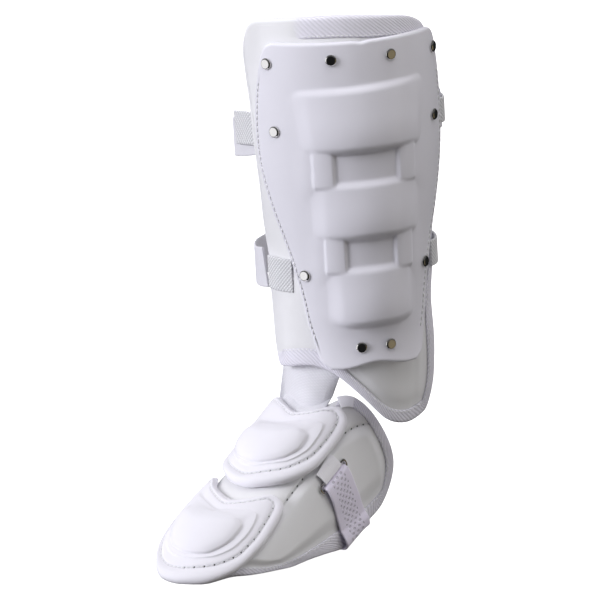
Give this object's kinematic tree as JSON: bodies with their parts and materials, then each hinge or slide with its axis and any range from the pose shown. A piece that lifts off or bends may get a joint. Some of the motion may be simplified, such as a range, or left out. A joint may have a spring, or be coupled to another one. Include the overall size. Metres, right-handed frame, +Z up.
{
  "type": "batter's shin and foot guard",
  "caption": "Padded batter's leg guard: moulded shin plate on a padded base, joined by an elastic web to a padded instep and toe cover with calf bands and a sole strap.",
  "frame": {"origin": "on the axis of the wearer's leg, at the middle of the shin plate's height", "axes": "+Z up the leg, the shin plate faces -Y, +X towards the inner side of a right leg; the toes point towards -X and -Y"},
  "size_m": [0.2653, 0.2204, 0.3973],
  "materials": {
    "plate": "moulded foam-backed shell, satin white",
    "leather": "smooth synthetic leather, white",
    "pad": "padded synthetic leather, pressed and stitched",
    "tape": "ribbed edge tape",
    "elastic": "woven elastic and twill",
    "ribbon": "satin ribbon",
    "chrome": "polished"
  },
  "bodies": {
    "root": {"shin_base": "leather", "shin_binding": "tape", "shin_plate": "plate", "rivet_01": "chrome", "rivet_02": "chrome", "rivet_03": "chrome", "rivet_04": "chrome", "rivet_05": "chrome", "rivet_06": "chrome", "rivet_07": "chrome", "rivet_08": "chrome", "rivet_09": "chrome", "rivet_10": "chrome", "calf_band_upper": "elastic", "calf_band_lower": "elastic", "tab_upper_left": "elastic", "tab_lower_left": "elastic", "tab_upper_right": "elastic", "tab_lower_right": "elastic", "foot_base": "leather", "ankle_web": "elastic", "foot_binding": "tape", "instep_pad": "pad", "toe_pad": "pad", "strap_ring": "chrome", "ring_tab": "ribbon", "foot_strap": "elastic", "binding_end": "ribbon"}
  },
  "joints": []
}
